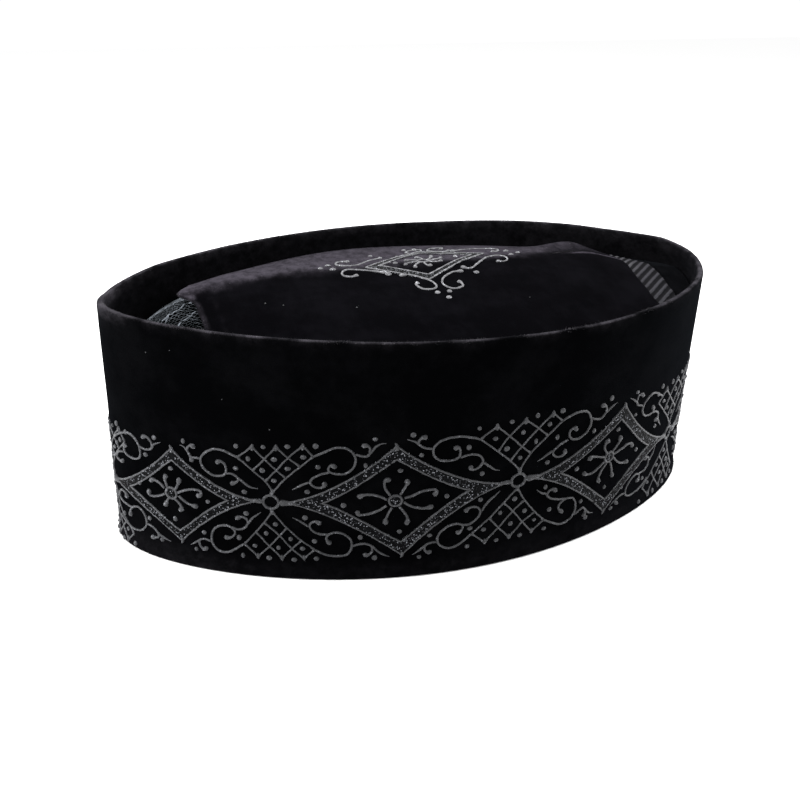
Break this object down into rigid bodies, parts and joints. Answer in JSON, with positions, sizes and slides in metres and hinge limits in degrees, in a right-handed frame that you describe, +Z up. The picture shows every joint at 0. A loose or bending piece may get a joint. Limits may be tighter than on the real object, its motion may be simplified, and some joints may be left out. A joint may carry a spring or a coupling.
{
  "type": "songkok",
  "caption": "Stiff oval velvet cap with a tall leaning band, a low creased crown let in below the rim, vent gussets at both ends and raised glitter lozenges.",
  "frame": {"origin": "middle of the flat lower edge that the cap stands on", "axes": "+Z up out of the crown, X along the cap's long axis, -Y towards the side that the picture shows"},
  "size_m": [0.241, 0.1542, 0.0954],
  "materials": {
    "velvet": "short black pile with a faint violet sheen",
    "net": "open grey net over black",
    "twill": "ribbed grey woven tape",
    "glitter": "raised silver-grey lines filled with dark glitter"
  },
  "bodies": {
    "root": {"band": "velvet", "crown": "velvet", "net_vent": "net", "twill_vent": "twill", "lozenge_1": "glitter", "lozenge_2": "glitter", "lozenge_3": "glitter", "lozenge_4": "glitter", "lozenge_5": "glitter", "lozenge_6": "glitter", "lozenge_7": "glitter", "ring_1": "glitter", "ring_2": "glitter", "ring_3": "glitter", "ring_4": "glitter", "ring_5": "glitter", "ring_6": "glitter", "ring_7": "glitter", "crown_lozenge": "glitter"}
  },
  "joints": []
}
